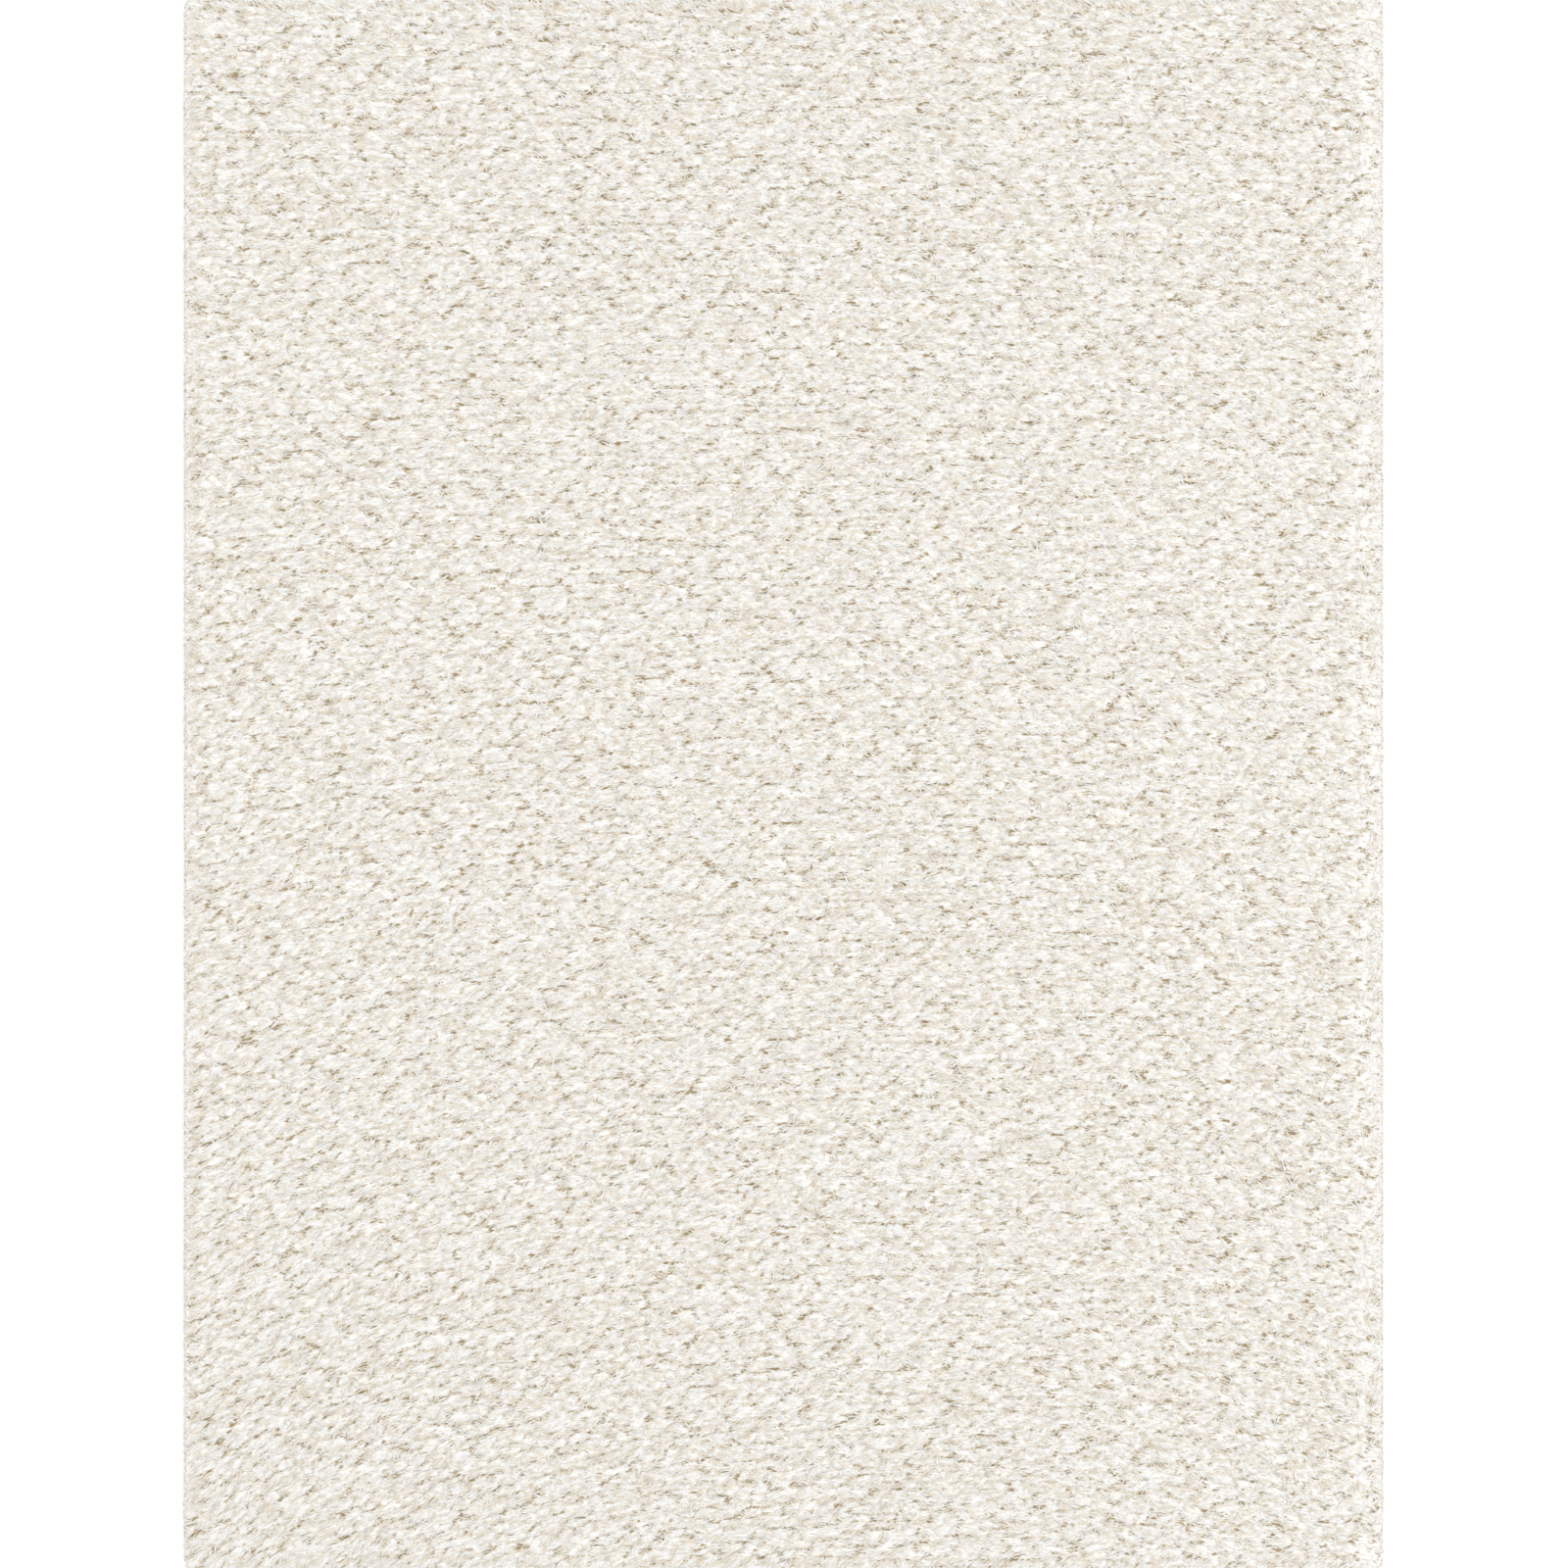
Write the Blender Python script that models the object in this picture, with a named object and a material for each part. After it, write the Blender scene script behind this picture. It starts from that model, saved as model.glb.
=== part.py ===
"""Shag rug: one rectangular, lumpy slab of cut pile, with locks of yarn standing out all round its rim.

Metres, +Z up. The origin is the middle of the underside, X runs across the rug and Y along it.
"""

import math
import random

import bmesh
import bpy
from mathutils import Vector

# Driving sizes
RUG_WIDTH = 1.600            # across, over the tips of the rim locks
RUG_LENGTH = 2.100           # along, over the tips of the rim locks
PILE_HEIGHT = 0.038          # floor to the highest crown of the pile
RIM_REACH = 0.024            # how far the longest locks stand out from the slab

# The lumps of the pile
LUMP_ACROSS = 0.0535         # pitch of the lumps along X
LUMP_ALONG = 0.0535          # pitch of the lumps along Y
ROLL_OFF = 0.026             # width of the sloping border next to the rim
CROWN_DROP = 0.006           # how far the lowest crown lies under the highest
PARTING_HEIGHT = 0.0270      # mean height of the partings between the crowns
PARTING_SPREAD = 0.0025      # how far a parting lies over or under that
SHOULDER_HEIGHT = 0.0265     # mean height of the border between its inner edge and the wall
SHOULDER_SPREAD = 0.0015     # how far the border lies over or under that
WANDER = 0.15                # sideways shift of a crown or a parting, as a share of the pitch
RIM_HEIGHT = 0.019           # mean height of the slab's wall
RIM_SPREAD = 0.002           # how far the wall's top lies over or under that

# The rim locks
PARTS_OF_LUMP = 4            # locks and gaps, by turns, along one lump of the border
PARTS_OF_CORNER = 2          # the same, along each side of a corner
SHORTEST = 0.60              # reach of the shortest lock, as a share of RIM_REACH
FULL_REACH_EVERY = 5         # of every so many locks, one has the full reach
LEANEST = 0.78               # height of the thinnest lock's outer half, as a share of the plumpest
SWAY = 0.007                 # most that a lock's tip leans along the rim
FAN_START = 0.070            # distance from a corner where the locks begin to fan out to it
FAN_LEAN = 0.012             # how far a lock right at the corner leans past it
# One row for each step out along a lock: how far out, how wide and how high it is there, as shares.
LOCK_STEPS = (
    {"out": 0.50, "wide": 0.82, "high": 0.72},
    {"out": 1.00, "wide": 0.36, "high": 0.28},
)

SHARP_EDGE = math.radians(75)
YARN_COLOUR = (0.846, 0.799, 0.708, 1.0)
YARN_ROUGHNESS = 0.95
SEED = 21

HALF_SLAB = Vector((RUG_WIDTH / 2 - RIM_REACH, RUG_LENGTH / 2 - RIM_REACH, 0))
CELLS_ACROSS = 2 + round(2 * (HALF_SLAB.x - ROLL_OFF) / LUMP_ACROSS)
CELLS_ALONG = 2 + round(2 * (HALF_SLAB.y - ROLL_OFF) / LUMP_ALONG)


def clear_scene():
    for obj in list(bpy.data.objects):
        bpy.data.objects.remove(obj)


def grid_line(share, cells, half):
    """The place of a grid line: the outermost cells are ROLL_OFF wide and the others are alike."""
    index = round((share + 0.5) * cells)
    if index in (0, cells):
        return math.copysign(half, share)
    pitch = 2 * (half - ROLL_OFF) / (cells - 2)
    return ROLL_OFF - half + (index - 1) * pitch


def lay_out_underside(bm):
    """The slab's underside: a flat grid with a narrow border, its rim cut up for the locks and gaps."""
    bmesh.ops.create_grid(bm, x_segments=CELLS_ACROSS, y_segments=CELLS_ALONG, size=0.5)
    for vert in bm.verts:
        vert.co.x = grid_line(vert.co.x, CELLS_ACROSS, HALF_SLAB.x)
        vert.co.y = grid_line(vert.co.y, CELLS_ALONG, HALF_SLAB.y)
    rim = [edge for edge in bm.edges if edge.is_boundary]
    corner = [edge for edge in rim if any(len(vert.link_edges) == 2 for vert in edge.verts)]
    straight = [edge for edge in rim if edge not in corner]
    bmesh.ops.subdivide_edges(bm, edges=corner, cuts=PARTS_OF_CORNER - 1)
    bmesh.ops.subdivide_edges(bm, edges=straight, cuts=PARTS_OF_LUMP - 1)


def raise_top(bm):
    """Makes a copy of the underside, joined to it by a wall, and returns the copy's faces."""
    raised = bmesh.ops.extrude_face_region(bm, geom=list(bm.faces), use_keep_orig=True)["geom"]
    return {item for item in raised if isinstance(item, bmesh.types.BMFace)}


def shift(vert, dice):
    """Moves a crown or a parting a little out of line."""
    vert.co.x += WANDER * LUMP_ACROSS * dice.uniform(-1, 1)
    vert.co.y += WANDER * LUMP_ALONG * dice.uniform(-1, 1)


def shape_top(bm, top, dice):
    """Gives the top its heights: low at the wall, a crown in each inner cell, and partings between."""
    verts = [vert for vert in bm.verts if any(face in top for face in vert.link_faces)]
    at_wall = {vert for vert in verts if any(face not in top for face in vert.link_faces)}
    for vert in verts:
        if vert in at_wall:
            vert.co.z = RIM_HEIGHT + dice.uniform(-RIM_SPREAD, RIM_SPREAD)
        else:
            vert.co.z = PARTING_HEIGHT + dice.uniform(-PARTING_SPREAD, PARTING_SPREAD)
            shift(vert, dice)
    border = [face for face in bm.faces if face in top and not at_wall.isdisjoint(face.verts)]
    inner = [face for face in bm.faces if face in top and at_wall.isdisjoint(face.verts)]
    for vert in bmesh.ops.poke(bm, faces=border)["verts"]:
        vert.co.z = SHOULDER_HEIGHT + dice.uniform(-SHOULDER_SPREAD, SHOULDER_SPREAD)
    crowns = bmesh.ops.poke(bm, faces=inner)["verts"]
    for vert in crowns:
        vert.co.z = PILE_HEIGHT - CROWN_DROP * dice.random()
        shift(vert, dice)
    max(crowns, key=lambda vert: vert.co.z).co.z = PILE_HEIGHT


def wall_round_rim(bm):
    """The faces of the slab's wall, in the order in which they follow each other round it."""
    wall = [face for face in bm.faces if sum(vert.co.z == 0 for vert in face.verts) == 2]
    middles = {face: face.calc_center_median() for face in wall}
    return sorted(wall, key=lambda face: math.atan2(middles[face].y, middles[face].x))


def lean_of_lock(root, along, dice):
    """How far a lock's tip leans along the rim: a little either way, and outwards near a corner."""
    place = root.dot(along)
    to_corner = abs(HALF_SLAB.x * along.x) + abs(HALF_SLAB.y * along.y) - abs(place)
    fan = FAN_LEAN * max(0.0, 1 - to_corner / FAN_START)
    return math.copysign(fan, place) + SWAY * dice.uniform(-1, 1)


def pull_out_lock(bm, face, full_reach, dice):
    """Draws one face of the wall out into a four-sided lock that lies on the floor as it tapers."""
    outward = face.normal.copy()
    along = Vector((-outward.y, outward.x, 0))
    root = face.calc_center_median()
    root.z = 0
    corners = [((vert.co - root).dot(along), vert.co.z) for vert in face.verts]
    reach = RIM_REACH if full_reach else RIM_REACH * dice.uniform(SHORTEST, 1)
    lean = lean_of_lock(root, along, dice)
    plumpness = dice.uniform(LEANEST, 1)
    for step in LOCK_STEPS:
        face = bmesh.ops.extrude_discrete_faces(bm, faces=[face])["faces"][0]
        middle = root + outward * reach * step["out"] + along * lean * step["out"] ** 2
        for vert, (aside, height) in zip(face.verts, corners):
            vert.co = middle + along * aside * step["wide"]
            vert.co.z = height * step["high"] * plumpness


def rug_mesh():
    """The whole rug: slab, lumps and rim locks as one closed mesh."""
    dice = random.Random(SEED)
    bm = bmesh.new()
    lay_out_underside(bm)
    shape_top(bm, raise_top(bm), dice)
    bmesh.ops.recalc_face_normals(bm, faces=bm.faces)
    for number, face in enumerate(wall_round_rim(bm)[::2]):
        pull_out_lock(bm, face, number % FULL_REACH_EVERY == 0, dice)
    bmesh.ops.recalc_face_normals(bm, faces=bm.faces)
    mesh = bpy.data.meshes.new("shag_rug")
    bm.to_mesh(mesh)
    bm.free()
    mesh.shade_smooth()
    mesh.set_sharp_from_angle(angle=SHARP_EDGE)
    return mesh


def cream_yarn():
    """Matt cream yarn."""
    material = bpy.data.materials.new("cream_yarn")
    material.use_nodes = True
    shader = material.node_tree.nodes["Principled BSDF"]
    shader.inputs["Base Color"].default_value = YARN_COLOUR
    shader.inputs["Roughness"].default_value = YARN_ROUGHNESS
    shader.inputs["Metallic"].default_value = 0.0
    return material


def build():
    clear_scene()
    mesh = rug_mesh()
    mesh.materials.append(cream_yarn())
    rug = bpy.data.objects.new("shag_rug", mesh)
    collection = bpy.data.collections.new("shag_rug")
    bpy.context.scene.collection.children.link(collection)
    collection.objects.link(rug)


build()
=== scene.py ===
import math

import bpy
import numpy as np
from bpy.props import FloatProperty, FloatVectorProperty, IntProperty, PointerProperty
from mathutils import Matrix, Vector


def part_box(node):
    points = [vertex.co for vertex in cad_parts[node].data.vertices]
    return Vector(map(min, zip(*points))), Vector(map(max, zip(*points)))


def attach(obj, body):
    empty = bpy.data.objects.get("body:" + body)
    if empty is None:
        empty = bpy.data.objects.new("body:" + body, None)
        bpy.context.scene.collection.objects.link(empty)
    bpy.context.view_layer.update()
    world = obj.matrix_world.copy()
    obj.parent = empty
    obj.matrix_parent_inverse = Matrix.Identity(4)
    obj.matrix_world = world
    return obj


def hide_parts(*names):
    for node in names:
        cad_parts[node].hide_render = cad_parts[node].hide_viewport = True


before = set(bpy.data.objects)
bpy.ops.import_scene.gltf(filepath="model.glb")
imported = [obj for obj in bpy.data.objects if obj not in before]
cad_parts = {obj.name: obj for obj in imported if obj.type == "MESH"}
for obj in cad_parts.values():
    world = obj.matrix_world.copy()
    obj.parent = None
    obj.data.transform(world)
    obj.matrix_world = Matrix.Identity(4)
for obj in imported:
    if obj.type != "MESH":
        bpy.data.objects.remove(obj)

bl_info = {
    "name": "Shag Rug",
    "version": (1, 0, 0),
    "blender": (4, 5, 0),
    "location": "3D View > Sidebar > Shag Rug",
    "description": "Builds a cream shag rug, strand by strand, on its ground cloth",
    "category": "Object",
}

NODE = "shag_rug"
BODY = "root"
LOW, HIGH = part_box(NODE)
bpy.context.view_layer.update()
MM = 0.001

# The photo's frame: its side in pixels, and the columns between which the rug lies
PHOTO_SIDE = 1600
RUG_LEFT, RUG_RIGHT = 188, 1411

# The stage
FLOOR_SIZE = 24.0            # side of the floor
FLOOR_LEVEL = -0.5 * MM      # just under the rug, so that no two faces share a place
CAMERA_HEIGHT = 3.0          # over the floor
OUTLINE_HEIGHT = 7 * MM      # height of the rim's outline, seen from there
SENSOR_WIDTH = 36            # the camera's, in millimetres
LIGHT_SIZE = 3.0             # side of each soft box
KEY_PLACE = (-2.8, 1.0, 3.4)
KEY_POWER = 14               # in watts
FILL_PLACE = (2.9, -0.2, 2.9)
FILL_POWER = 26              # in watts
SKY_STRENGTH = 1.15          # of the even white light from all round

# Meshes and their maps
PIECE_TRIANGLES = 190_000    # most triangles in one piece of strands
CLOTH_POINTS = (40, 52)      # of the ground cloth's grid, across and along
CLOTH_SHARP = math.radians(40)
PILE_SHARP = math.radians(75)
STRAND_LIFT = 0.8            # how far a strand's normals are turned up
LEAST_FACING = 0.05          # cosine between a normal and its triangle's, under which it gives way
MAP_MARGIN = 0.01            # left free round a slab's map
SHADE_SPAN = (0.05, 0.95)    # part of a strand's map that its own shade uses
HEIGHT_SPAN = (0.02, 0.98)   # part of it that its height uses
MAP_HEIGHT = 10 * MM         # difference in height from end to end of the map
MAP_STEP = 0.01              # half the width of a strand's triangles on the map

# Smooth noises: how far each goes to either side, its pitch and its seed
TUFT_SHIFT_ALONG = (4 * MM, 19 * MM, 11)
TUFT_SHIFT_ACROSS = (3 * MM, 14 * MM, 12)
RIDGE_SHIFT = (5 * MM, 30 * MM, 13)
RIDGES = (1.1 * MM, 5.5 * MM, 14)
BROAD_TURN = (1.0, 60 * MM, 1)       # of the strands, in shares of the swirl
NARROW_TURN = (0.6, 24 * MM, 2)

# The nap's turn, in shares of the sweep
FRONT_TURN = 0.35            # at the middle of the front
FRONT_CHANGE = 1.6           # how much less it is at the front's right than at its left

# The matted pile
TABLE = 256                  # side of a square table of random numbers, which repeats past it
TUFT_SEED = 3
TUFT_ASIDE = 0.22            # most that a tuft stands off its place, as a share of its pitch
TUFT_RISE = 0.2 * MM         # most that its crown stands over or under the mean
TUFT_FALL = 7.6 * MM         # how far it falls one pitch away from its crown
RIDGE_STRETCH = 4            # how much longer than wide the ridges are
SLOPE_START = 1 * MM         # where the slope leaves the floor, in from the rug's full size
PILE_INSET = 2 * MM          # where the matted pile's own rim stands
PILE_FOOT = 0.3 * MM         # height of its underside
LEAST_PILE = 1 * MM          # least height over the ground cloth
# Where a pit's painted shade begins and where there is all of it, under the mean of the crowns and in
# from the rug's full size
PIT_DEPTHS = (1.2 * MM, 3.0 * MM)
PIT_INSET = (4 * MM, 12 * MM)
# Where each quarter of it starts, in halves of the rug from the middle
QUARTERS = ((-1, -1), (0, -1), (-1, 0), (0, 0))

# Strands on the pile
STRAND_SEED = 7
ROOT_INSET = 7 * MM          # where the outermost strands start, in from the full size
RIM_BAND = 26 * MM           # width of the band in which the rim's own strands start
RIM_CROWDING = 1.3           # power of the chance that crowds them towards its outer edge
TURN_BAND = 30 * MM          # width of the band in which strands are drawn outwards
OUTWARD = 1.6                # pull outwards at its outer edge, where the nap's own is at most 1
NAP_LOSS = 0.9               # most that the nap's own pull gives way
REACH_SHARES = (0.6, 1.3)    # shortest and longest strand, as shares of the mean
WIDTH_SHARES = (0.75, 1.25)  # thinnest and thickest, the same
TIP_TURN = 0.35              # spread of the outer half's turn from the inner half, in radians
ROOT_DEPTH = 3 * MM          # how deep in the matted pile a strand starts
RING_RISE = (0.2 * MM, 1.9 * MM)     # height of its middle over the matted pile
TIP_RISE = (-1.2 * MM, 2.8 * MM)     # height of its tip over it
RING_SINK = 0.45             # most that its middle sinks on a slope, as a share of its reach
TIP_SINK = 1.10              # most that its tip sinks, the same
RING_GAP = 2 * MM            # how far its middle stays in from the full size
FLOOR_GAP = 1 * MM           # least height of a point over the floor
FLOOR_STEP = 0.3 * MM        # added where the point was over the floor to begin with
# A ring's three corners, aside and up, as shares of half the strand's thickness
RING = ((0.0, 1.0), (-1.0, -0.5), (1.0, -0.5))

# Strands on the rim's wall
WALL_STARTS = (0.12, 0.95)   # height of the ring, as a share of the pile's
WALL_DROP = (4 * MM, 15 * MM)        # how far the tip hangs under it
WALL_LOWEST = 1.3 * MM       # least height of a tip
WALL_SWING = 5 * MM          # spread of the tip's swing aside
RING_SWING = 0.3             # share of that swing at the ring
WALL_PROUD = (0.5 * MM, 2.5 * MM)    # how far the tip stands out of the wall
LEAST_INSET = 0.1 * MM       # and how far it stays in from the full size
WALL_DEPTH = 6 * MM          # how deep in the wall a strand starts
WALL_RISE = 2 * MM           # how far over its ring it starts
CORNER_GAP = 8 * MM          # least distance of a strand's place from the end of its side
END_GAP = 3 * MM             # least distance of any of its points from there
# A ring's three corners, aside and out, as shares of half the strand's thickness
WALL_RING = ((0.0, 1.2), (-1.0, -0.4), (1.0, -0.4))

# The strands' colours: painted shade, darker and warmer where a point lies under the strands round it
CELL = 3 * MM                # side of the cells that their heights are compared in
MARGIN = 2                   # cells left free round the strands
LINE_POINTS = 5              # points on each half of a strand that count in a cell
BLENDS = 2                   # how many times a cell is blended with its neighbours
# Painted shade along the rim: a strand that stands out of the wall is painted lighter, one in it darker
RIM_SHARE = 0.4              # share of how far a strand stands out of the wall that counts
RIM_INSET = (2 * MM, 12 * MM)        # in from the full size: where that is all, and where it is none

# A strand's six triangles: root, ring and tip are its points 0, 1 to 3 and 4
STRAND_FACES = np.array([(0, 2, 1), (0, 3, 2), (0, 1, 3), (4, 1, 2), (4, 2, 3), (4, 3, 1)])
# Which way each corner of each lies on the map's first axis
STRAND_STEPS = np.array([(0, -1, 1), (0, 1, -1), (0, 1, -1), (0, -1, 1), (0, 1, -1), (0, -1, 1)])


def linear(hex_colour):
    """The linear red, green and blue of an sRGB hex colour."""
    values = (int(hex_colour[i:i + 2], 16) / 255 for i in (0, 2, 4))
    return tuple(v / 12.92 if v <= 0.04045 else ((v + 0.055) / 1.055) ** 2.4 for v in values)


def metres(name, description, default):
    """A length that the sidebar shows in the scene's units."""
    return FloatProperty(name=name, description=description, default=default, min=0.0,
                         unit="LENGTH", precision=4)


def angle(name, description, degrees):
    """An angle that the sidebar shows in degrees."""
    return FloatProperty(name=name, description=description, default=math.radians(degrees),
                         subtype="ANGLE", unit="ROTATION")


def strand_count(name, description, default):
    """A whole number of strands."""
    return IntProperty(name=name, description=description, default=default, min=1)


def colour(name, description, hex_colour):
    """A colour that the sidebar shows as a colour field."""
    return FloatVectorProperty(name=name, description=description, subtype="COLOR", size=3,
                               min=0.0, max=1.0, default=linear(hex_colour))


class RugSizes(bpy.types.PropertyGroup):
    """The sizes that make this rug what it is."""

    rim_fall: metres("Rim fall", "How far the pile falls outside the ground cloth", 22 * MM)
    cloth_thickness: metres("Cloth thickness", "Thickness of the ground cloth", 2.5 * MM)
    pile_height: metres("Pile height", "Mean height of the tufts' crowns", 29 * MM)
    tuft_across: metres("Tuft pitch across", "Distance between tufts across the rug", 25 * MM)
    tuft_along: metres("Tuft pitch along", "Distance between rows of tufts", 10.5 * MM)
    mesh_pitch: metres("Mesh pitch", "Distance between the matted pile's points", 4.7 * MM)
    slope: metres("Slope", "Width of the border over which the pile falls to the floor", 13 * MM)
    corner: metres("Corner", "Radius of the rug's corners", 18 * MM)
    strand: metres("Strand", "Thickness of a strand of yarn", 2.4 * MM)
    reach: metres("Reach", "How far a strand runs from its root over the matted pile", 24 * MM)
    strands: strand_count("Strands", "Strands over the whole rug", 97_000)
    rim_strands: strand_count("Rim strands", "Strands that fall over the rim", 8_000)
    wall_strands: strand_count("Wall strands", "Strands that hang down the rim's wall", 7_500)
    nap: angle("Nap", "The way that the pile leans, from +X round to +Y", 176)
    sweep: angle("Sweep", "How much farther round the nap is at the front left", 30)
    swirl: angle("Swirl", "How far the nap turns from place to place", 12)
    spread: angle("Spread", "How far one strand turns from the nap round it", 27)


class RugColours(bpy.types.PropertyGroup):
    """The colours of the yarn and of its painted shade, the cloth and the floor."""

    tip: colour("Tips", "Yarn on top of the pile", "EFEFEE")
    # Painted shade: the darker, warmer colour of yarn that lies under the pile round it
    root: colour("Painted root shade", "Yarn deep in the pile", "E4DAC8")
    # Painted shade in the pits between the tufts
    gap: colour("Painted gap shade", "Shade between the tufts' feet", "A08D6A")
    cloth: colour("Ground cloth", "Bleached cotton cloth", "E7E0D0")
    floor: colour("Floor", "Pale studio floor", "FCFCFB")


def rug_sizes():
    return bpy.context.scene.shag_rug_sizes


def rug_colours():
    return bpy.context.scene.shag_rug_colours


# Numbers that vary smoothly over the rug


def smooth_noise(x, y, size, pitch, seed):
    """Value noise: random numbers from -1 to 1 on a square lattice, blended between its points by
    a smooth step in x and in y, times the noise's size."""
    u, v = x / pitch, y / pitch
    column, row = np.floor(u).astype(int), np.floor(v).astype(int)
    lattice = np.random.default_rng(seed).uniform(-1, 1, (TABLE, TABLE))
    a, b = u - column, v - row
    a, b = a * a * (3 - 2 * a), b * b * (3 - 2 * b)
    left, right = column % TABLE, (column + 1) % TABLE
    low, high = row % TABLE, (row + 1) % TABLE
    near = lattice[low, left] * (1 - a) + lattice[low, right] * a
    far = lattice[high, left] * (1 - a) + lattice[high, right] * a
    return size * (near * (1 - b) + far * b)


# Meshes from arrays


def mesh_from(name, points, corners, starts, uv=None):
    """A mesh from whole arrays: points, the point at each face corner, and where each face's
    corners start."""
    mesh = bpy.data.meshes.new(name)
    mesh.vertices.add(len(points))
    mesh.vertices.foreach_set("co", np.asarray(points, np.float32).ravel())
    mesh.loops.add(len(corners))
    mesh.loops.foreach_set("vertex_index", np.asarray(corners, np.int32))
    mesh.polygons.add(len(starts))
    mesh.polygons.foreach_set("loop_start", np.asarray(starts, np.int32))
    mesh.update(calc_edges=True)
    if uv is not None:
        layer = mesh.uv_layers.new(name="OFBake")
        layer.uv.foreach_set("vector", np.asarray(uv, np.float32).ravel())
    mesh.shade_smooth()
    return mesh


def soften(mesh, lift):
    """Shades the triangles that look up as if they were turned up by lift before their normals are
    brought back to length, because light goes through loose fibres. The others keep their
    normals, and one that would point against its own triangle takes the triangle's."""
    normals = np.empty(3 * len(mesh.loops), np.float32)
    mesh.corner_normals.foreach_get("vector", normals)
    normals = normals.reshape(-1, 3)
    flat = np.empty(3 * len(mesh.polygons), np.float32)
    mesh.polygon_normals.foreach_get("vector", flat)
    flat = np.repeat(flat.reshape(-1, 3), 3, axis=0)
    up = flat[:, 2] > 0
    normals[up, 2] = np.maximum(normals[up, 2], 0) + lift
    normals /= np.linalg.norm(normals, axis=1, keepdims=True)
    against = (normals * flat).sum(1) < LEAST_FACING
    normals[against] = flat[against]
    mesh.normals_split_custom_set(normals)


def add_piece(name, mesh, material):
    """Puts a finished mesh into the scene as a piece of the rug."""
    mesh.materials.append(material)
    piece = bpy.data.objects.new(name, mesh)
    bpy.context.scene.collection.objects.link(piece)
    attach(piece, BODY)
    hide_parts(NODE)
    return piece


def grid_faces(rows, columns):
    """The square faces of a grid whose points run row by row, counterclockwise."""
    index = np.arange(rows * columns).reshape(rows, columns)
    return np.stack([index[:-1, :-1], index[:-1, 1:], index[1:, 1:], index[1:, :-1]], -1).reshape(-1, 4)


def slab_arrays(x, y, top, bottom):
    """A closed slab: a grid with the heights in top, its rim let down to the height bottom, and
    one fan of triangles from the rim's foot to the middle of the underside."""
    rows, columns = x.shape
    index = np.arange(rows * columns).reshape(rows, columns)
    rim = np.concatenate([index[0, :-1], index[:-1, -1], index[-1, :0:-1], index[:0:-1, 0]])
    points = np.stack([x.ravel(), y.ravel(), top.ravel()], 1)
    foot = points[rim] * (1, 1, 0) + (0, 0, bottom)
    middle = np.array([[x.mean(), y.mean(), bottom]])
    low = rows * columns + np.arange(len(rim))
    after, low_after = np.roll(rim, -1), np.roll(low, -1)
    squares = np.concatenate([grid_faces(rows, columns), np.stack([rim, low, low_after, after], 1)])
    fan = np.stack([low_after, low, np.full_like(low, low[-1] + 1)], 1)
    corners = np.concatenate([squares.ravel(), fan.ravel()])
    starts = np.concatenate([4 * np.arange(len(squares)), 4 * len(squares) + 3 * np.arange(len(fan))])
    return np.concatenate([points, foot, middle]), corners, starts


def plan_map(points, corners):
    """Map places for a slab seen from above. The top fills the map; what has no width seen from
    above lies under it."""
    low, high = points.min(0), points.max(0)
    share = (points[:, :2] - low[:2]) / (high - low)[:2]
    return (MAP_MARGIN + (1 - 2 * MAP_MARGIN) * share)[corners]


# Materials


def add_node(tree, kind, inputs=None, **settings):
    """Adds a node: sets its properties, then sets each input, by its name or its place, or links
    it to another node's output."""
    node = tree.nodes.new(kind)
    for name, value in settings.items():
        setattr(node, name, value)
    for key, value in (inputs or {}).items():
        socket = node.inputs[key]
        if isinstance(value, bpy.types.NodeSocket):
            tree.links.new(value, socket)
        else:
            socket.default_value = value
    return node


def new_material(name, roughness, specular):
    """A material that is only its Principled shader, with this roughness and Specular IOR Level."""
    material = bpy.data.materials.new(name)
    material.use_nodes = True
    shader = material.node_tree.nodes["Principled BSDF"]
    shader.inputs["Roughness"].default_value = roughness
    shader.inputs["Specular IOR Level"].default_value = specular
    return material, material.node_tree, shader


def cut_yarn():
    """Matt, soft-spun, bleached yarn, almost white, with painted shade: warmer and darker where
    it lies under the pile round it, each strand a little lighter or darker than the next. The
    map's first axis is the strand's own shade and its second is how high it lies, from which
    the shade is painted; 0.3 of the first is added to the second."""
    material, tree, shader = new_material("cream_cut_yarn", 0.9, 0.15)
    colours = rug_colours()
    place = add_node(tree, "ShaderNodeUVMap", uv_map="OFBake")
    axes = add_node(tree, "ShaderNodeSeparateXYZ", {"Vector": place.outputs["UV"]})
    shade = add_node(tree, "ShaderNodeMath", {
        0: axes.outputs["X"], 1: 0.30, 2: axes.outputs["Y"],
    }, operation="MULTIPLY_ADD")
    rise = add_node(tree, "ShaderNodeMapRange", {
        "Value": shade.outputs["Value"], "From Min": 0.48, "From Max": 0.78,
    }, interpolation_type="SMOOTHSTEP")
    # Painted shade: from the roots' colour up to the tips' as a point lies higher over the pile round
    # it
    along = add_node(tree, "ShaderNodeMix", {
        "Factor": rise.outputs["Result"], "A": (*colours.root, 1), "B": (*colours.tip, 1),
    }, data_type="RGBA")
    tree.links.new(along.outputs["Result"], shader.inputs["Base Color"])
    return material


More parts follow.
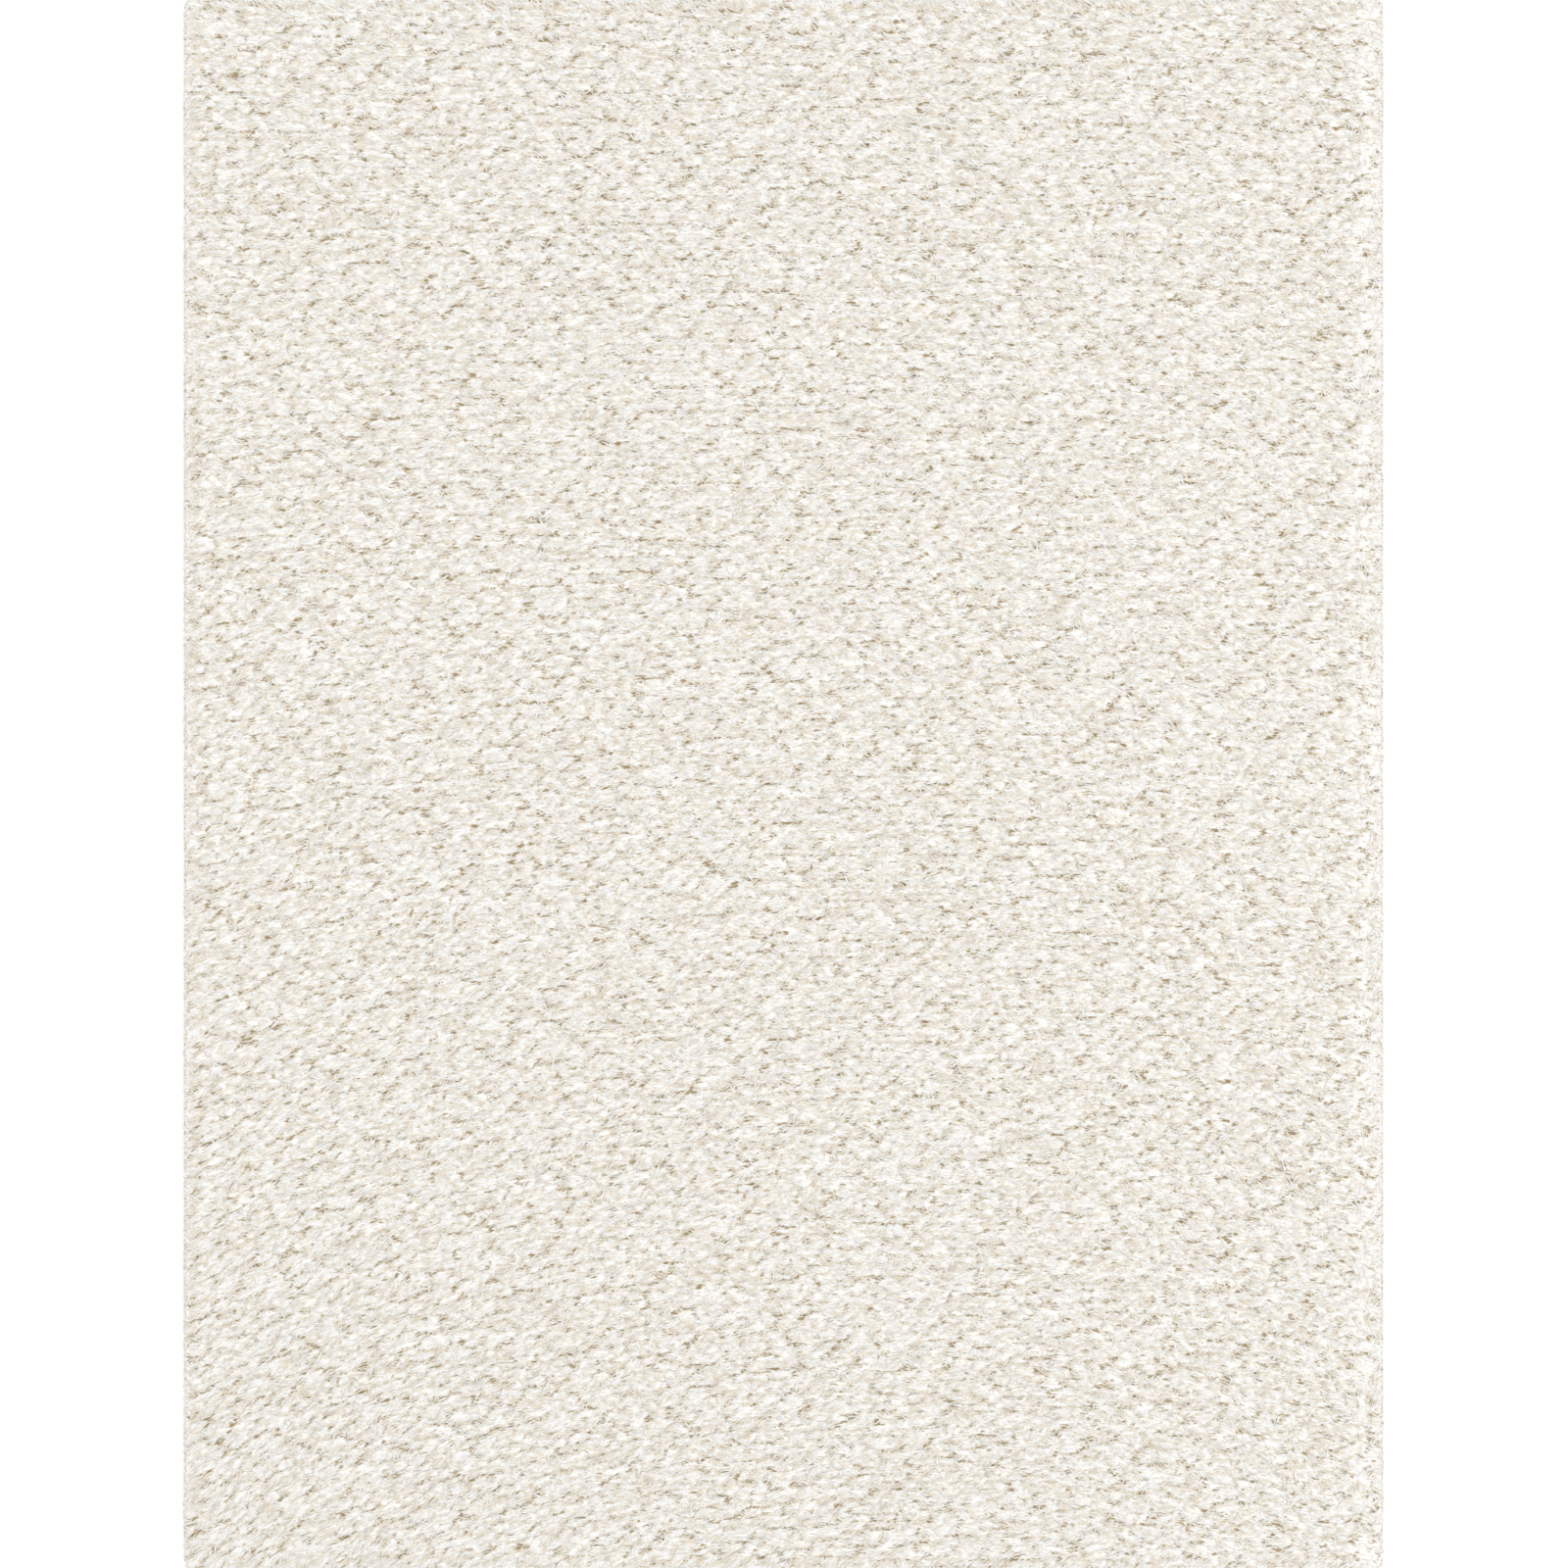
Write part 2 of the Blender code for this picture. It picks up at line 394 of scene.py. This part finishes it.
def matted_yarn():
    """The pile's matted surface: bleached yarn whose fibres run with the nap in wavy streaks,
    8 mm long and 2.4 mm wide, their darker parts partly the fibres' own tone and partly
    painted shade, and painted tan shade in the pits between the tufts."""
    material, tree, shader = new_material("matted_pile_yarn", 0.95, 0.1)
    colours = rug_colours()
    length, width = 8 * MM, 2.4 * MM
    lie = add_node(tree, "ShaderNodeAttribute", attribute_name="lie")
    stretch = add_node(tree, "ShaderNodeMapping", {
        "Vector": lie.outputs["Vector"], "Scale": (1 / length, 1 / width, 1 / length),
    })
    fibres = add_node(tree, "ShaderNodeTexNoise", {
        "Vector": stretch.outputs["Vector"], "Scale": 1.0, "Detail": 3.0, "Roughness": 0.6,
        "Distortion": 0.5,
    })
    streak = add_node(tree, "ShaderNodeMapRange", {
        "Value": fibres.outputs["Fac"], "From Min": 0.38, "From Max": 0.58,
    })
    # The streaks' darker tone: partly the fibres' own, partly painted shade mixed from the roots'
    # colour
    dark = tuple(0.6 * root + 0.4 * tip for root, tip in zip(colours.root, colours.tip))
    yarn = add_node(tree, "ShaderNodeMix", {
        "Factor": streak.outputs["Result"], "A": (*dark, 1), "B": (*colours.tip, 1),
    }, data_type="RGBA")
    # Painted shade: deep in the pits, and more where the streaks are dark, mixed towards the gaps' tan
    pit = add_node(tree, "ShaderNodeAttribute", attribute_name="pit")
    deep = add_node(tree, "ShaderNodeMath", {
        0: pit.outputs["Fac"], 1: streak.outputs["Result"],
    }, operation="SUBTRACT")
    shaded = add_node(tree, "ShaderNodeMapRange", {
        "Value": deep.outputs["Value"], "From Min": -0.25, "From Max": 0.50,
    })
    mixed = add_node(tree, "ShaderNodeMix", {
        "Factor": shaded.outputs["Result"], "A": yarn.outputs["Result"], "B": (*colours.gap, 1),
    }, data_type="RGBA")
    bump = add_node(tree, "ShaderNodeBump", {
        "Height": fibres.outputs["Fac"], "Strength": 0.7, "Distance": 3 * MM,
    })
    tree.links.new(mixed.outputs["Result"], shader.inputs["Base Color"])
    tree.links.new(bump.outputs["Normal"], shader.inputs["Normal"])
    return material


def woven_cotton():
    """Bleached cotton ground cloth in plain weave, 2 mm to a thread: matt, with a fine chequer of
    warp and weft that catches the light on its underside."""
    material, tree, shader = new_material("woven_cotton_cloth", 0.9, 0.2)
    light = rug_colours().cloth
    dark = tuple(0.82 * part for part in light)
    thread = 2 * MM
    place = add_node(tree, "ShaderNodeTexCoord")
    parts = add_node(tree, "ShaderNodeSeparateXYZ", {"Vector": place.outputs["Object"]})
    waves = []
    for axis in ("X", "Y"):
        turns = add_node(tree, "ShaderNodeMath", {0: parts.outputs[axis], 1: math.pi / thread},
                         operation="MULTIPLY")
        waves.append(add_node(tree, "ShaderNodeMath", {0: turns.outputs["Value"]}, operation="SINE"))
    weave = add_node(tree, "ShaderNodeMath", {
        0: waves[0].outputs["Value"], 1: waves[1].outputs["Value"],
    }, operation="MULTIPLY")
    mixed = add_node(tree, "ShaderNodeMix", {
        "Factor": weave.outputs["Value"], "A": (*dark, 1), "B": (*light, 1),
    }, data_type="RGBA")
    bump = add_node(tree, "ShaderNodeBump", {
        "Height": weave.outputs["Value"], "Strength": 0.8, "Distance": 0.5 * MM,
    })
    tree.links.new(mixed.outputs["Result"], shader.inputs["Base Color"])
    tree.links.new(bump.outputs["Normal"], shader.inputs["Normal"])
    return material


def painted_floor():
    """Matt painted studio floor."""
    material, _, shader = new_material("matt_studio_floor", 0.8, 0.5)
    shader.inputs["Base Color"].default_value = (*rug_colours().floor, 1)
    return material


# The matted pile


def half_rug():
    """Half the rug's full width and length."""
    return np.array(((HIGH.x - LOW.x) / 2, (HIGH.y - LOW.y) / 2))


def half_cloth():
    """Half the ground cloth's width and length."""
    return half_rug() - rug_sizes().rim_fall


def nap_turn(x, y):
    """How much farther round than its main direction the nap runs at each place, as a share of
    the sweep: nothing at the back, and at the front from most at the left to less than nothing
    at the right."""
    return (0.5 - y / (HIGH.y - LOW.y)) * (FRONT_TURN - FRONT_CHANGE * x / (HIGH.x - LOW.x))


def nap_plan(x, y):
    """How far along and across the nap a place lies. Lines of one distance across run with the
    nap: it is y less the sum of the nap's slope from the middle line, x = 0, to the place."""
    sizes = rug_sizes()
    drift = math.tan(sizes.nap) * x + sizes.sweep * x * nap_turn(x / 2, y)
    return x, y - drift


def crown_over(x, y):
    """How far the tufts' crowns rise over or under their mean: the highest of the bowls turned
    upside down that stand on the nine nearest points of a brick grid, each point moved by chance
    and the whole plan bent by smooth noise. A bowl falls with the square of the distance from
    its crown, in pitches."""
    sizes = rug_sizes()
    dice = np.random.default_rng(TUFT_SEED)
    aside = dice.uniform(-TUFT_ASIDE, TUFT_ASIDE, (TABLE, TABLE, 2))
    crown = dice.uniform(-TUFT_RISE, TUFT_RISE, (TABLE, TABLE))
    along, across = nap_plan(x, y)
    u = (along + smooth_noise(x, y, *TUFT_SHIFT_ALONG)) / sizes.tuft_across
    v = (across + smooth_noise(x, y, *TUFT_SHIFT_ACROSS)) / sizes.tuft_along
    best = np.full(np.shape(x), -np.inf)
    for step_up in (-1, 0, 1):
        row = np.floor(v).astype(int) + step_up
        shift = 0.5 * (row % 2)
        for step_over in (-1, 0, 1):
            column = np.floor(u - shift).astype(int) + step_over
            own = row % TABLE, column % TABLE
            far = ((u - column - 0.5 - shift - aside[own][..., 0]) ** 2
                   + (v - row - 0.5 - aside[own][..., 1]) ** 2)
            best = np.maximum(best, crown[own] - TUFT_FALL * far)
    return best


def inside_rim(x, y):
    """Distance in from the rug's full size: to the nearest side or, past the middle of a corner's
    rounding, its radius less the distance to that middle."""
    corner = rug_sizes().corner
    half_x, half_y = half_rug()
    near_x, near_y = half_x - np.abs(x), half_y - np.abs(y)
    past = np.hypot(np.maximum(corner - near_x, 0), np.maximum(corner - near_y, 0))
    rounded = np.where(past > 0, corner - past, np.inf)
    return np.minimum(np.minimum(near_x, near_y), rounded)


def kept_inside(plan, gap):
    """Places drawn in until they lie at least a gap inside the rug's full size: how far a place is
    past the middle of the nearest corner's rounding is cut down to the radius less the gap."""
    corner = rug_sizes().corner
    middle = half_rug() - corner
    past = np.maximum(np.abs(plan) - middle, 0)
    length = np.linalg.norm(past, axis=-1, keepdims=True)
    past *= np.minimum(1, (corner - gap) / np.maximum(length, MM))
    return np.sign(plan) * (np.minimum(np.abs(plan), middle) + past)


def rim_share(x, y):
    """The share of its full height that the pile has: all of it inside the slope along the rim,
    and on the slope one less the cube of what is left of its width."""
    slope = SLOPE_START, SLOPE_START + rug_sizes().slope
    left = np.interp(inside_rim(x, y), slope, (1, 0))
    return 1 - left ** 3


def wall_inset(z):
    """How far in from the rug's full size the matted pile has a height: rim_share turned round."""
    left = np.cbrt(1 - np.minimum(z / rug_sizes().pile_height, 1))
    return SLOPE_START + rug_sizes().slope * (1 - left)


def matted_height(x, y):
    """Height of the matted pile's surface: crowns and pits, and ridges that run with the nap, all
    brought down to the floor along the rim."""
    along, across = nap_plan(x, y)
    bent = across + smooth_noise(x, y, *RIDGE_SHIFT)
    ridges = smooth_noise(along / RIDGE_STRETCH, bent, *RIDGES)
    return (rug_sizes().pile_height + crown_over(x, y) + ridges) * rim_share(x, y)


def mark_yarn(mesh, points):
    """Gives the mesh what its material reads at each point: how deep in a pit it lies, from 0 to 1
    and less along the rim, for the painted shade in the pits, and where it lies along and across
    the nap and over the floor."""
    x, y, z = points.T
    pit = np.interp(-crown_over(x, y), PIT_DEPTHS, (0, 1))
    pit *= np.interp(inside_rim(x, y), PIT_INSET, (0, 1))
    lie = np.stack([*nap_plan(x, y), z], 1)
    mesh.attributes.new("pit", "FLOAT", "POINT").data.foreach_set("value", pit)
    mesh.attributes.new("lie", "FLOAT_VECTOR", "POINT").data.foreach_set("vector", lie.ravel())


# The strands


def rim_sides(count, half):
    """The side of the rug that each of the rim's strands is on: whether it is one of the two at the
    ends of X, and -1 or 1 for which of the two. Each side has as many as its length asks for."""
    at_x = np.arange(count) < count * half[1] / half.sum()
    return at_x, np.where(np.arange(count) % 2 == 0, -1.0, 1.0)


def strand_roots(dice):
    """Where strands leave the matted pile: one in each cell of a grid over the whole rug, at a
    place by chance, and more in a band along the rim, at its width times a power of chance."""
    sizes = rug_sizes()
    half = half_rug() - ROOT_INSET
    columns = round(math.sqrt(sizes.strands * half[0] / half[1]))
    rows = round(sizes.strands / columns)
    column, row = np.meshgrid(np.arange(columns), np.arange(rows))
    share = (np.stack([column, row], -1) + dice.uniform(0, 1, (rows, columns, 2))) / (columns, rows)
    field = (2 * share - 1).reshape(-1, 2) * half
    count = sizes.rim_strands
    inset = half - (RIM_BAND * dice.uniform(0, 1, count) ** RIM_CROWDING)[:, None]
    place = dice.uniform(-1, 1, count)
    at_x, side = rim_sides(count, half)
    rim = inset * np.where(at_x[:, None], np.stack([side, place], 1), np.stack([place, side], 1))
    return np.concatenate([field, rim])


def strand_ways(dice, root):
    """Which way each strand goes, as a unit vector: with the nap, turned by smooth noise and by
    chance, and in a band along the rim drawn outwards."""
    sizes = rug_sizes()
    x, y = root.T
    way = sizes.nap + sizes.sweep * nap_turn(x, y)
    way += sizes.swirl * smooth_noise(x, y, *BROAD_TURN)
    way += sizes.swirl * smooth_noise(x, y, *NARROW_TURN)
    way += dice.normal(0, sizes.spread, len(root))
    ahead = np.stack([np.cos(way), np.sin(way)], 1)
    inset = half_rug() - ROOT_INSET - np.abs(root)
    out = np.sign(root) * np.interp(inset, (0, TURN_BAND), (1, 0)) * OUTWARD
    ahead = ahead * (1 - np.minimum(np.abs(out), NAP_LOSS)) + out
    return ahead / np.linalg.norm(ahead, axis=1, keepdims=True)


def strand_points(dice, root, ahead):
    """The five points of each strand, a spindle that lies on the matted pile: a point under its
    surface, a three-sided ring half the reach ahead, and a tip another half ahead, turned aside
    by chance. Ring and tip lie on the surface, over or under it by chance, but where it falls
    away they sink by no more than a share of the reach. Neither passes the rug's full size."""
    sizes = rug_sizes()
    count = len(root)
    reach = sizes.reach * dice.uniform(*REACH_SHARES, (count, 1))
    turn = dice.normal(0, TIP_TURN, (count, 1))
    aside = np.stack([-ahead[:, 1], ahead[:, 0]], 1)
    middle = root + 0.5 * reach * ahead
    tip = middle + 0.5 * reach * (np.cos(turn) * ahead + np.sin(turn) * aside)
    middle, tip = kept_inside(middle, RING_GAP), kept_inside(tip, 0)
    start = matted_height(*root.T)
    ring_z = np.maximum(matted_height(*middle.T), start - RING_SINK * reach[:, 0])
    tip_z = np.maximum(matted_height(*tip.T), start - TIP_SINK * reach[:, 0])
    half = sizes.strand / 2 * dice.uniform(*WIDTH_SHARES, count)
    ring_z += dice.uniform(*RING_RISE, count)
    tip_z += dice.uniform(*TIP_RISE, count)
    ring = [np.column_stack([middle + side * half[:, None] * aside, ring_z + up * half])
            for side, up in RING]
    points = np.stack([np.column_stack([root, start - ROOT_DEPTH]), *ring,
                       np.column_stack([tip, tip_z])], 1)
    least = FLOOR_GAP + FLOOR_STEP * (points[..., 2] > 0)
    points[..., 2] = np.maximum(points[..., 2], least)
    return points


def wall_strand_points(dice):
    """The five points of each strand that hangs down the rim's wall: a point in the wall, a
    three-sided ring on its face, and a tip that hangs lower and swings aside by chance. A point
    has a place along its side of the rug and an inset from that side. In a rounded corner the
    inset grows by the radius less the root of this: the radius squared less the square of how
    far the place is past the rounding's start."""
    sizes = rug_sizes()
    count = sizes.wall_strands
    full = half_rug()
    at_x, side = rim_sides(count, full)
    limit = np.where(at_x, full[1], full[0])[:, None]
    place = dice.uniform(-1, 1, count) * (limit[:, 0] - CORNER_GAP)
    high = dice.uniform(*WALL_STARTS, count) * sizes.pile_height
    low = np.maximum(high - dice.uniform(*WALL_DROP, count), WALL_LOWEST)
    swing = dice.normal(0, WALL_SWING, count)
    half = sizes.strand / 2 * dice.uniform(*WIDTH_SHARES, count)
    foot = np.maximum(wall_inset(low) - dice.uniform(*WALL_PROUD, count), LEAST_INSET)
    face = wall_inset(high)
    ring_aside, ring_out = (half[:, None] * shares for shares in np.array(WALL_RING).T)
    shift = np.column_stack([0 * swing, RING_SWING * swing[:, None] + ring_aside, swing])
    inset = np.column_stack([face + WALL_DEPTH, face[:, None] - ring_out, foot])
    z = np.column_stack([high + WALL_RISE, high, high, high, low])
    beside = place[:, None] + shift * np.where(at_x, side, -side)[:, None]
    beside = np.clip(beside, END_GAP - limit, limit - END_GAP)
    past = np.maximum(np.abs(beside) - limit + sizes.corner, 0)
    inset = np.maximum(inset, 0) + sizes.corner - np.sqrt(sizes.corner ** 2 - past ** 2)
    out = side[:, None] * (np.where(at_x, full[0], full[1])[:, None] - inset)
    x, y = np.where(at_x[:, None], out, beside), np.where(at_x[:, None], beside, out)
    return np.stack([x, y, np.maximum(z, FLOOR_GAP)], -1)


def heights_for_painted_shade(points):
    """How far each point of the strands lies over or under the pile round it, from which their
    material paints shade, darker and warmer the lower a point lies: the plan is cut into
    cells, each takes the height of its highest strand, and each cell's height is blended with
    its neighbours'. Towards the rim this passes into less than half of how far a point
    stands out of the wall, so that what falls over the rim gets as much painted shade as the
    yarn between the tips."""
    low = points.min((0, 1))[:2] - MARGIN * CELL
    columns, rows = np.ceil((points.max((0, 1))[:2] - low) / CELL).astype(int) + MARGIN + 1
    x, y = np.meshgrid(low[0] + (np.arange(columns) + 0.5) * CELL,
                       low[1] + (np.arange(rows) + 0.5) * CELL)
    top = matted_height(x, y)
    share = np.linspace(0, 1, LINE_POINTS)[:, None, None]
    for start, end in ((0, 1), (1, 4)):
        line = points[:, start] * (1 - share) + points[:, end] * share
        place = ((line[..., :2] - low) / CELL).astype(int)
        np.maximum.at(top, (place[..., 1], place[..., 0]), line[..., 2])
    for _ in range(BLENDS):
        for axis in (0, 1):
            top = 0.5 * top + 0.25 * (np.roll(top, 1, axis) + np.roll(top, -1, axis))
    place = ((points[..., :2] - low) / CELL).astype(int)
    over = points[..., 2] - top[place[..., 1], place[..., 0]]
    inside = inside_rim(points[..., 0], points[..., 1])
    # Painted shade on the rim: the farther a point stands out of the wall, the lighter it is painted
    out = RIM_SHARE * (wall_inset(points[..., 2]) - inside)
    return over + np.interp(inside, RIM_INSET, (1, 0)) * (out - over)


def strand_arrays(points, over, shade):
    """The mesh arrays of strands of six triangles each, from their points, how far these lie over
    the pile round them, and each strand's own shade. On the map, that shade is the first axis
    and how far a point lies over the pile, which sets its painted shade, is the second."""
    count, faces = len(points), len(STRAND_FACES)
    corners = points.shape[1] * np.arange(count)[:, None, None] + STRAND_FACES
    least, most = SHADE_SPAN
    uv = np.empty((*corners.shape, 2))
    uv[..., 0] = least + (most - least) * shade[:, None, None] + MAP_STEP * STRAND_STEPS
    uv[..., 1] = np.clip(0.5 + over / MAP_HEIGHT, *HEIGHT_SPAN)[:, STRAND_FACES]
    return points.reshape(-1, 3), corners.ravel(), 3 * np.arange(faces * count), uv.reshape(-1, 2)


# The steps


class RUG_OT_ground_cloth(bpy.types.Operator):
    """Lay the ground cloth that the pile is fastened in"""

    bl_idname = "shag_rug.ground_cloth"
    bl_label = "Ground Cloth"

    def execute(self, context):
        x, y = np.meshgrid(*(np.linspace(-half, half, count)
                             for half, count in zip(half_cloth(), CLOTH_POINTS)))
        top = np.full_like(x, rug_sizes().cloth_thickness)
        mesh = mesh_from("ground_cloth", *slab_arrays(x, y, top, 0.0))
        piece = add_piece("ground_cloth", mesh, woven_cotton())
        piece.data.set_sharp_from_angle(angle=CLOTH_SHARP)
        return {"FINISHED"}


class RUG_OT_matted_pile(bpy.types.Operator):
    """Lay the matted surface of the pile, in four quarters"""

    bl_idname = "shag_rug.matted_pile"
    bl_label = "Matted Pile"

    def execute(self, context):
        sizes = rug_sizes()
        half = half_rug() - PILE_INSET
        columns, rows = (round(side / sizes.mesh_pitch) + 1 for side in half)
        material = matted_yarn()
        for number, (start_x, start_y) in enumerate(QUARTERS, 1):
            x, y = np.meshgrid(np.linspace(0, 1, columns) * half[0] + start_x * half[0],
                               np.linspace(0, 1, rows) * half[1] + start_y * half[1])
            top = np.maximum(matted_height(x, y), sizes.cloth_thickness + LEAST_PILE)
            points, corners, starts = slab_arrays(x, y, top, PILE_FOOT)
            name = f"matted_pile_{number}"
            mesh = mesh_from(name, points, corners, starts, plan_map(points, corners))
            mark_yarn(mesh, points)
            mesh.set_sharp_from_angle(angle=PILE_SHARP)
            add_piece(name, mesh, material)
        return {"FINISHED"}


class RUG_OT_strands(bpy.types.Operator):
    """Draw the strands out of the matted pile, in bands along the rug"""

    bl_idname = "shag_rug.strands"
    bl_label = "Strands"

    def execute(self, context):
        dice = np.random.default_rng(STRAND_SEED)
        root = strand_roots(dice)
        ahead = strand_ways(dice, root)
        points = np.concatenate([strand_points(dice, root, ahead), wall_strand_points(dice)])
        over = heights_for_painted_shade(points)
        shade = dice.uniform(0, 1, len(points))
        order = np.argsort(points[:, 0, 1], kind="stable")
        bands = 1 + len(STRAND_FACES) * len(order) // PIECE_TRIANGLES
        material = cut_yarn()
        for number, chosen in enumerate(np.array_split(order, bands), 1):
            arrays = strand_arrays(points[chosen], over[chosen], shade[chosen])
            mesh = mesh_from(f"strands_{number}", *arrays)
            soften(mesh, STRAND_LIFT)
            add_piece(f"strands_{number}", mesh, material)
        return {"FINISHED"}


class RUG_OT_stage(bpy.types.Operator):
    """Set up the pale floor, the soft light and the camera straight above the rug"""

    bl_idname = "shag_rug.stage"
    bl_label = "Stage"

    def execute(self, context):
        scene = context.scene
        bpy.ops.mesh.primitive_plane_add(size=FLOOR_SIZE, location=(0, 0, FLOOR_LEVEL))
        floor = context.active_object
        floor.name = "floor"
        floor.data.materials.append(painted_floor())
        self.add_camera(scene)
        self.add_light(scene, "key", KEY_PLACE, KEY_POWER)
        self.add_light(scene, "fill", FILL_PLACE, FILL_POWER)
        world = bpy.data.worlds.new("studio")
        world.use_nodes = True
        world.node_tree.nodes["Background"].inputs["Color"].default_value = (1, 1, 1, 1)
        world.node_tree.nodes["Background"].inputs["Strength"].default_value = SKY_STRENGTH
        scene.world = world
        scene.view_settings.view_transform = "Standard"
        return {"FINISHED"}

    def add_camera(self, scene):
        """Straight above the middle of the rug, whose outline lies on the photo's columns: the lens is
        the sensor's width times the way to the outline over the width that is seen there."""
        camera = bpy.data.cameras.new("camera")
        seen = (HIGH.x - LOW.x) * PHOTO_SIDE / (RUG_RIGHT - RUG_LEFT)
        camera.sensor_width = SENSOR_WIDTH
        camera.lens = SENSOR_WIDTH * (CAMERA_HEIGHT - OUTLINE_HEIGHT) / seen
        camera.shift_x = 0.5 - (RUG_LEFT + RUG_RIGHT) / 2 / PHOTO_SIDE
        holder = bpy.data.objects.new("camera", camera)
        holder.location = (0, 0, CAMERA_HEIGHT)
        scene.collection.objects.link(holder)
        scene.camera = holder

    def add_light(self, scene, name, place, power):
        """A square soft box that faces the middle of the rug."""
        light = bpy.data.lights.new(name, "AREA")
        light.shape = "SQUARE"
        light.size = LIGHT_SIZE
        light.energy = power
        holder = bpy.data.objects.new(name, light)
        holder.location = place
        holder.rotation_euler = (-Vector(place)).to_track_quat("-Z", "Y").to_euler()
        scene.collection.objects.link(holder)


class RUG_PT_sidebar(bpy.types.Panel):
    """The rug's sizes, colours and steps"""

    bl_idname = "RUG_PT_sidebar"
    bl_label = "Shag Rug"
    bl_space_type = "VIEW_3D"
    bl_region_type = "UI"
    bl_category = "Shag Rug"

    def draw(self, context):
        for group in (context.scene.shag_rug_sizes, context.scene.shag_rug_colours):
            for name in group.__annotations__:
                self.layout.prop(group, name)
        for step in STEPS:
            self.layout.operator(step.bl_idname)


STEPS = (RUG_OT_ground_cloth, RUG_OT_matted_pile, RUG_OT_strands, RUG_OT_stage)
CLASSES = (RugSizes, RugColours, *STEPS, RUG_PT_sidebar)


def register():
    for cls in CLASSES:
        bpy.utils.register_class(cls)
    bpy.types.Scene.shag_rug_sizes = PointerProperty(type=RugSizes)
    bpy.types.Scene.shag_rug_colours = PointerProperty(type=RugColours)


def unregister():
    del bpy.types.Scene.shag_rug_colours
    del bpy.types.Scene.shag_rug_sizes
    for cls in reversed(CLASSES):
        bpy.utils.unregister_class(cls)


def main():
    register()
    bpy.ops.shag_rug.ground_cloth()
    bpy.ops.shag_rug.matted_pile()
    bpy.ops.shag_rug.strands()
    bpy.ops.shag_rug.stage()


if __name__ == "__main__":
    main()
